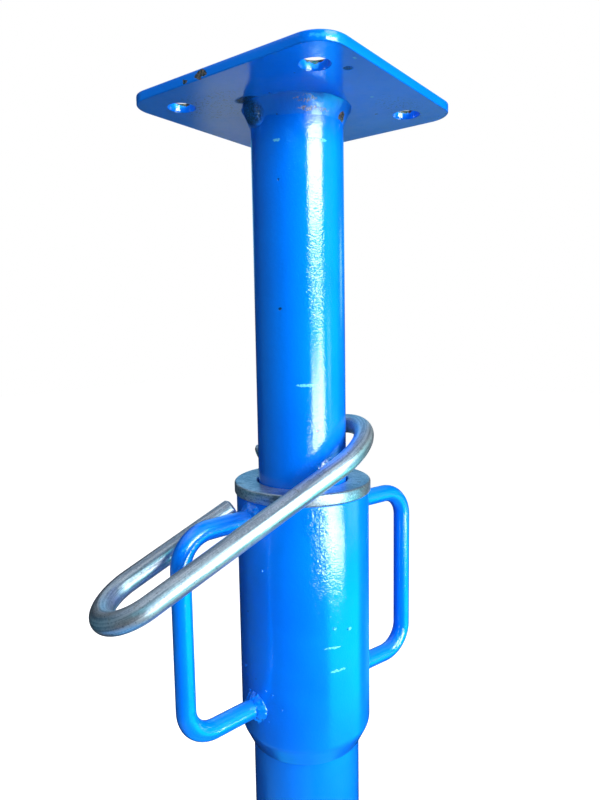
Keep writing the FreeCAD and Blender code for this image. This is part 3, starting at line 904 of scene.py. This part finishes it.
def collarSleeve(finish):
    foot, top, lip = collarFoot, collarTop, collarShape["lip"]
    lipTop = foot + collarShape["lipHeight"]
    crest = threadShape["femaleCrest"]
    mouth = crest + collarShape["mouth"]
    outline = roundedOutline([
        (lip, foot, collarShape["rimEdge"]), (lip + collarShape["footWall"], foot, collarShape["rimEdge"]),
        (collarRadius, foot + collarShape["drawnIn"], collarShape["shoulder"]),
        (collarRadius, top, collarShape["topEdge"]), (mouth, top, 0), (mouth, foot + 0.002, 0),
    ], collarShape["edgeSteps"])[:-1]  # the last corner only gives the rim's inner edge its direction
    for row in range(collarShape["rows"] + 1):
        outline.append(Vector((crest, top + (lipTop - top) * row / collarShape["rows"])))
    outline.append(Vector((lip, lipTop - collarShape["lipSlope"])))

    def carve(angle, x, z):
        if abs(x - crest) > 1e-7 or z < lipTop - 1e-6:
            return 0
        fade = min(1.0, (z - lipTop) / collarShape["runOut"])
        gap = toothShare(angle, z, threadShape["femaleGap"])
        return (threadShape["femaleRoot"] - crest) * gap * max(0.0, fade)

    return turnedPiece("collarSleeve", outline, finish, collarShape["sides"], 50, carve)


collarMarks = {
    # Flecks and arc scratches painted bright cyan: partly wear and partly painted glints
    "rubsAndGlints": [((0.0323, -0.017, 1.3298), (0.0012, 0.0014, 0.0007)),
             ((0.0356, -0.0079, 1.327), (0.0008, 0.0014, 0.001)),
             ((0.033, -0.0157, 1.3066), (0.0035, 0.0068, 0.0006)),
             ((0.0317, -0.018, 1.3196), (0.0038, 0.0062, 0.0005))],
    "wrinkles": [((0.027, -0.0246, 1.388), (0.009, 0.009, 0.013)),
                 ((0.0285, -0.0228, 1.368), (0.005, 0.006, 0.015))],
    "speckled": [((0.0285, -0.0228, 1.366), (0.0095, 0.0105, 0.027))],
}
collarPaint = paintFinish("collarPaint", specks=0.6, **collarMarks)
dress(collarSleeve(collarPaint), "collar", "blue_paint", "collar")


# Washer, and the stop ring on the inner tube's foot

washerShape = {"bore": 0.02515, "outer": 0.0375, "edge": 0.0012, "boreEdge": 0.0005, "edgeSteps": 6, "sides": 160}
stopShape = {"bore": 0.0242, "outer": 0.02635, "height": 0.012, "edge": 0.0005, "boreEdge": 0, "edgeSteps": 3,
             "sides": 96}
stopWeldShape = {"reach": 0.0018, "rise": 0.0019, "bead": (50.0, 0.0001, 0.006, 0.0002, 9.0)}
stopTop = plateThick + stopShape["height"]

dress(plainRing("washerRing", washerShape, collarTop, washerTop, zincFinish("washerZinc")),
      "washer", "galvanised_steel", "thrust_washer")
dress(plainRing("stopRing", stopShape, plateThick, stopTop, oilySteel), "inner_post", "bare_steel", "stop_ring")
dress(filletRing("stopRingWeld", stopTop, innerRadius, True, stopWeldShape, oilySteel),
      "inner_post", "bare_steel", "stop_ring_weld")
print("stage: outer tube, thread, collar and washer")


# Rods: the pin and the handles

def bentPath(runs, radii, spacing=0.0012):
    # Points along straight runs joined by arcs that turn to the left, in a plane
    points = []
    for index, (start, end) in enumerate(runs):
        start, end = Vector(start), Vector(end)
        points += [start.lerp(end, share / 10) for share in range(11)]
        if index < len(radii):
            heading = (end - start).normalized()
            centre = end + Vector((-heading.y, heading.x)) * radii[index]
            first = end - centre
            last = Vector(runs[index + 1][0]) - centre
            swing = (math.atan2(last.y, last.x) - math.atan2(first.y, first.x)) % fullTurn
            steps = max(6, int(radii[index] * swing / spacing))
            points += [centre + rotated(first, swing * step / steps) for step in range(1, steps)]
    return [point for index, point in enumerate(points) if not index or (point - points[index - 1]).length > 1e-7]


def rodPiece(name, path, radius, finish, sides, chamfer=0.0):
    # Round bar along 3D points, with a UV map that runs along it
    count = len(path)
    tangents = [(path[min(count - 1, index + 1)] - path[max(0, index - 1)]).normalized() for index in range(count)]
    side = tangents[0].orthogonal().normalized()
    frames, travel = [], 0.0
    for index, tangent in enumerate(tangents):
        side = (side - tangent * side.dot(tangent)).normalized()
        if index:
            travel += (path[index] - path[index - 1]).length
        frames.append((path[index], side.copy(), tangent.cross(side), travel))
    length = travel
    rings = []

    def ring(point, first, second, along, size):
        rings.append(([point + (first * math.cos(turn) + second * math.sin(turn)) * size
                       for turn in roundAngles(sides)], along))

    for point, first, second, along in frames:
        if chamfer and along == 0:
            ring(point, first, second, 0, radius - chamfer)
            ring(point + tangents[0] * chamfer, first, second, chamfer, radius)
        elif chamfer and along == length:
            ring(point - tangents[-1] * chamfer, first, second, length - chamfer, radius)
            ring(point, first, second, length, radius - chamfer)
        elif 2 * chamfer <= along <= length - 2 * chamfer:
            ring(point, first, second, along, radius)
    faces = gridFaces(len(rings), sides, closedRows=False)
    faces += [tuple(range(sides)), tuple(range((len(rings) - 1) * sides, len(rings) * sides))]
    mesh = newMesh(name, [spot for spots, along in rings for spot in spots], faces)
    layer = mesh.uv_layers.new(name="Along")
    for polygon in mesh.polygons:
        columns = [mesh.loops[loop].vertex_index % sides for loop in polygon.loop_indices]
        wraps = max(columns) - min(columns) > sides / 2
        for loop, column in zip(polygon.loop_indices, columns):
            row = mesh.loops[loop].vertex_index // sides
            turn = column + sides if wraps and column < sides / 2 else column
            layer.data[loop].uv = (rings[row][1], fullTurn * radius * turn / sides)
    mendMesh(mesh)
    return addPiece(name, mesh, finish, 40)


pinShape = {"rod": 0.0054, "reach": 0.1075, "shank": 0.0615, "spacing": 0.038, "curl": 149, "tail": 0.029,
            "heading": 65.3, "tilt": 27, "gap": 0.0004, "chamfer": 0.0012, "sides": 48,
            "stains": [((-0.056, -0.087, 1.36), (0.016, 0.016, 0.016))]}


def lockingPin(finish):
    spacing, reach = pinShape["spacing"], pinShape["reach"]
    curl = math.radians(pinShape["curl"])
    curlEnd = Vector((spacing * math.sin(curl), -spacing * math.cos(curl)))
    tailEnd = curlEnd + Vector((math.cos(curl), math.sin(curl))) * pinShape["tail"]
    flat = bentPath([[(pinShape["shank"] - reach, 0), (-reach, 0)], [(-reach, -spacing), (0, -spacing)],
                     [tuple(curlEnd), tuple(tailEnd)]], [spacing / 2, spacing])
    hinge = next(joint for joint in frame["joints"] if joint["name"] == "pin_lift")
    tilt = Quaternion(Vector(hinge["axis"]), -math.radians(pinShape["tilt"])).to_matrix().to_4x4()
    pivot = Matrix.Translation(Vector(hinge["pos_m"]))
    level = washerTop + pinShape["rod"] + pinShape["gap"]
    place = pivot @ tilt @ pivot.inverted() @ stand(pinShape["heading"], level)
    path = [place @ Vector((point.x, point.y, 0)) for point in flat]
    return rodPiece("lockingPin", path, pinShape["rod"], finish, pinShape["sides"], pinShape["chamfer"])


dress(lockingPin(zincFinish("pinZinc", True, pinShape["stains"])), "pin", "galvanised_steel", "g_pin")

handleShape = {"bar": 0.005, "reach": 0.079, "height": 0.104, "bend": 0.0163, "sink": 0.001, "sides": 40}
handleSides = {"left": {"heading": 259.1, "drop": 0.0152, "seed": 11.0},
               "right": {"heading": 74.6, "drop": 0.0199, "seed": 14.0}}
handleWeld = {"leg": 0.004, "share": 0.78, "uneven": 0.22, "waves": 1.3, "sink": 0.0012, "bow": 1.7,
              "steps": 120, "arcSteps": 10, "bead": (9.0, 0.0004, 0.0032, 0.0013)}


def handleBar(name, heading, foot, finish):
    bend, reach, top = handleShape["bend"], handleShape["reach"], handleShape["height"]
    start = collarRadius - handleShape["sink"]
    flat = bentPath([[(start, 0), (reach - bend, 0)], [(reach, bend), (reach, top - bend)],
                     [(reach - bend, top), (start, top)]], [bend, bend])
    place = stand(heading, foot)
    path = [place @ Vector((point.x, 0, point.y)) for point in flat]
    return rodPiece(name, path, handleShape["bar"], finish, handleShape["sides"])


def handleBead(name, heading, height, finish, seed):
    # Fillet round one arm, laid on the collar's round face
    bar, sink = handleShape["bar"], handleWeld["sink"]
    place = stand(heading, height)
    rings = []
    for turn in roundAngles(handleWeld["steps"]):
        swell = 1.0 + handleWeld["uneven"] * noise.noise(polar(1.0, turn, seed) * handleWeld["waves"])
        leg = handleWeld["leg"] * (swell * handleWeld["share"])
        outline = bowedArc(bar, leg, leg, handleWeld["bow"], handleWeld["arcSteps"])
        outline = [(bar - sink, -sink), (bar + leg, -sink), *outline, (bar - sink, leg)]
        ring = []
        for away, lift in outline:
            across, up = away * math.cos(turn), away * math.sin(turn)
            ring.append(place @ Vector((math.sqrt(collarRadius ** 2 - across ** 2) + lift, across, up)))
        rings.append(ring)
    return sweepRing(rings, name, finish, (*handleWeld["bead"], seed))


for side, shape in handleSides.items():
    barPaint = paintFinish(side + "HandlePaint", specks=0.8, peel=1.2)
    beadPaint = paintFinish(side + "BeadPaint", specks=0.8, peel=2.0)
    heading, seed = shape["heading"], shape["seed"]
    top = washerTop - shape["drop"]
    foot = top - handleShape["height"]
    dress(handleBar(side + "Handle", heading, foot, barPaint), "collar", "blue_paint", side + "_handle")
    dress(handleBead(side + "HandleTopWeld", heading, top, beadPaint, seed),
          "collar", "blue_paint", side + "_handle_top_weld")
    dress(handleBead(side + "HandleBottomWeld", heading, foot, beadPaint, seed + 1),
          "collar", "blue_paint", side + "_handle_bottom_weld")


# Weld spatter on the collar

spatter = {
    "seed": 21, "sizeSeed": 3, "each": 6, "away": (0.009, 0.024), "size": (0.00025, 0.0006), "sink": 0.25,
    "clearTop": 0.002, "clearFoot": 0.001,
    # degrees to the right of the camera, height and size
    "drops": [(-36.3, 1.3599, 0.0007), (24.2, 1.3299, 0.0007), (38.2, 1.3275, 0.0006),
              (-62.8, 1.3017, 0.0006), (-56.0, 1.2894, 0.0007)],
}


def collarSpot(heading, z, size):
    return polar(collarRadius - size * spatter["sink"], heading, z), size


def spatterSpots():
    draw = random.Random(spatter["seed"])
    spots = [collarSpot(besideCamera(turn), z, size) for turn, z, size in spatter["drops"]]
    highest = collarTop - spatter["clearTop"]
    lowest = collarFoot + collarShape["drawnIn"] + spatter["clearFoot"]
    for shape in handleSides.values():
        top = washerTop - shape["drop"]
        for height in (top, top - handleShape["height"]):
            for number in range(spatter["each"]):
                away = draw.uniform(*spatter["away"])
                turn = draw.uniform(0, fullTurn)
                size = draw.uniform(*spatter["size"])
                heading = math.radians(shape["heading"]) + away * math.cos(turn) / collarRadius
                z = height + away * math.sin(turn)
                if lowest <= z <= highest:
                    spots.append(collarSpot(heading, z, size))
    return spots


dress(scatterDrops("collarSpatter", spatterSpots(), collarPaint, spatter["sizeSeed"]), "collar", "blue_paint")
print("stage: pin, handles and spatter")


# Stage: floor, world, lamps and the surroundings that gloss shows

def seenRays(tree):
    rays = addNode(tree, "ShaderNodeLightPath").outputs
    seen = calc("MAXIMUM", rays["Is Camera Ray"], rays["Is Glossy Ray"])
    return calc("MAXIMUM", seen, rays["Is Transmission Ray"])


# The glow is lower near the foot, where the floor keeps its shadow
floorShape = {"half": 14, "z": -0.0004, "color": (0.42, 0.42, 0.43, 1), "reach": (0.35, 1.6), "levels": (0.38, 0.96)}


def addFloor():
    half, z = floorShape["half"], floorShape["z"]
    mesh = newMesh("floor", [(-half, -half, z), (half, -half, z), (half, half, z), (-half, half, z)], [(0, 1, 2, 3)])
    finish = bpy.data.materials.new("paleFloor")
    tree = emptyTree(finish)
    matt = addNode(tree, "ShaderNodeBsdfDiffuse", {"Color": floorShape["color"]}).outputs[0]
    away = vectorCalc("LENGTH", addNode(tree, "ShaderNodeTexCoord").outputs["Object"])
    level = ramp(away, *floorShape["reach"], *floorShape["levels"])
    glow = joinNode("ShaderNodeEmission", {"Strength": times(seenRays(tree), level)})[0]
    both = joinNode("ShaderNodeAddShader", {0: matt, 1: glow})[0]
    addNode(tree, "ShaderNodeOutputMaterial", {0: both})
    mesh.materials.append(finish)
    addObject("floor", mesh)


worldLevels = {"light": 0.15, "seen": 1.0}


def addWorld():
    scene.world = bpy.data.worlds.new("studio")
    tree = emptyTree(scene.world)
    strength = ramp(seenRays(tree), 0, 1, worldLevels["light"], worldLevels["seen"])
    back = joinNode("ShaderNodeBackground", {"Color": (1, 1, 1, 1), "Strength": strength})[0]
    addNode(tree, "ShaderNodeOutputWorld", {0: back})


# turn to the right of the camera and tilt in degrees, distance, size, level, height aimed at and color;
# level 1 lights a facing surface so that its colour renders as written
lamps = {
    "key": (43, 22, 3.0, (2.2, 1.6), 1.5, 1.2, (1, 1, 1)),
    "side": (76, 18, 3.0, (1.6, 1.6), 0.8, 1.2, (1, 1, 1)),
    "sky": (-27, 35, 3.2, (1.6, 1.6), 0.15, 1.2, (0.55, 0.82, 1.3)),
    "fill": (200, 30, 3.5, (2.5, 2.0), 0.7, 1.0, (1, 1, 1)),
}


def addLamp(name, turn, tilt, distance, size, level, aim, color):
    settings = bpy.data.lights.new(name, "AREA")
    settings.shape = "RECTANGLE"
    settings.size, settings.size_y = size
    settings.color = color
    settings.energy = level * math.pi ** 2 * distance ** 2
    lamp = addObject(name, settings)
    away = sideways(turn, tilt)
    lamp.location = Vector((0, 0, aim)) + away * distance
    lamp.rotation_euler = away.to_track_quat("Z", "Y").to_euler()
    lamp.visible_glossy = False
    lamp.visible_camera = False


surroundings = {
    "radius": 4.0, "dark": 0.005, "floorGap": 0.002, "noise": (34, 3, 0.6), "noiseRange": (0.44, 0.58),
    # turn to the right of the camera and half width, low and high edge in degrees, softness,
    # brightness by colour, and how much noise breaks it up
    "fields": [
        (43, 18, 10.5, 22.5, 1.2, (11, 11.5, 12), 0),
        (41, 15, 4, 10, 2, (0.5, 2.2, 2.3), 0),
        (24, 50, 22.5, 29, 1.5, (0.3, 2.6, 2.9), 0),
        (43, 19, 29, 38, 3, (2.6, 2.8, 3), 0),
        (43, 18, -2, 4, 2, (0.4, 2.4, 2.7), 0.6),
        (52, 7, -5, 2, 2, (7, 7.5, 8), 0.4),
        (45, 17, -11.5, -3.5, 1.8, (9, 9.5, 10), 0),
        (77, 2.5, -7, 2, 1.2, (1.6, 2, 2.1), 0.3),
        (130, 4, 3, 10, 1.5, (1.2, 1.8, 1.8), 0.2),
        (57, 13.5, -17.8, -13, 1.2, (12, 12.5, 13), 0),
        (35, 20, -15, -12.5, 1, (8, 8.5, 9), 0),
        (75, 34, -37, -17, 6, (0, 2, 1.9), 0),
        (86, 24, -10, 22, 8, (0, 0.7, 0.7), 0),
        (92, 14, -15, -10, 1.2, (0.6, 1.2, 1.9), 0),
        (0, 181, 44, 91, 8, (0.24, 0.36, 0.48), 0),
        (-60, 75, 59, 73, 3, (0.5, 0.42, 0.32), 0),
        (-85, 32, -40, 30, 12, (0.015, 0.12, 0.18), 0),
        (-45, 55, -66, -42, 5, (0.05, 0.26, 0.6), 0),
        (-125, 60, 31, 44, 4, (0.25, 0.32, 0.4), 0),
        (180, 26, 6, 44, 5, (0.08, 0.42, 0.72), 0),
        (152, 18, -34, -24, 2.5, (0.04, 0.4, 0.7), 0),
        (180, 26, -22, -12, 2, (0.04, 0.08, 0.11), 0),
        (186, 3, -22, -12, 1.4, (0.34, 0.36, 0.14), 0),
        (193, 5, -22, -12, 2, (0, 0.03, 0.02), 0),
        (170, 8, -22, -12, 2, (0.11, 0.27, 0.24), 0),
        (0, 181, -91, -68, 4, (0.02, 0.5, 1.1), 0),
    ],
}


def addSurroundings():
    # A closed tent round the prop that only reflections see: window, sky and ground
    work = bmesh.new()
    bmesh.ops.create_uvsphere(work, u_segments=64, v_segments=32, radius=surroundings["radius"])
    bmesh.ops.reverse_faces(work, faces=work.faces)
    bmesh.ops.translate(work, verts=work.verts, vec=(0, 0, washerTop))
    for vertex in work.verts:
        vertex.co.z = max(vertex.co.z, surroundings["floorGap"])
    mesh = bpy.data.meshes.new("surroundings")
    work.to_mesh(mesh)
    work.free()
    finish = bpy.data.materials.new("surroundings")
    tree = emptyTree(finish)
    coords = addNode(tree, "ShaderNodeTexCoord").outputs["Object"]
    coords = vectorCalc("NORMALIZE", vectorCalc("SUBTRACT", coords, (0, 0, washerTop)))
    ahead, aside, height = (vectorCalc("DOT_PRODUCT", coords, tuple(axis))
                            for axis in (sideways(0), sideways(90), (0, 0, 1)))
    turn = calc("DEGREES", calc("ARCTAN2", aside, ahead))
    tilt = calc("DEGREES", calc("ARCSINE", height))
    broken = ramp(grain(coords, *surroundings["noise"]), *surroundings["noiseRange"])
    total = (surroundings["dark"],) * 3
    for middle, half, low, high, soft, level, breaks in surroundings["fields"]:
        away = calc("PINGPONG", calc("SUBTRACT", turn, middle), 180)
        inside = times(ramp(away, half + soft, half - soft), ramp(tilt, low - soft, low + soft))
        inside = times(inside, ramp(tilt, high + soft, high - soft))
        if breaks:
            inside = times(inside, ramp(broken, 0, 1, 1 - breaks, 1))
        total = vectorCalc("ADD", scaleVector(level, inside), total)
    glow = joinNode("ShaderNodeEmission", {"Color": total, "Strength": 1.0})[0]
    addNode(tree, "ShaderNodeOutputMaterial", {0: glow})
    mesh.materials.append(finish)
    tent = addObject("surroundings", mesh)
    tent.visible_camera = tent.visible_diffuse = tent.visible_shadow = False
    tent.visible_transmission = tent.visible_volume_scatter = False


addFloor()
addWorld()
addSurroundings()
for name, values in lamps.items():
    addLamp(name, *values)
scene.view_settings.view_transform = "Standard"
print("stage: lights")
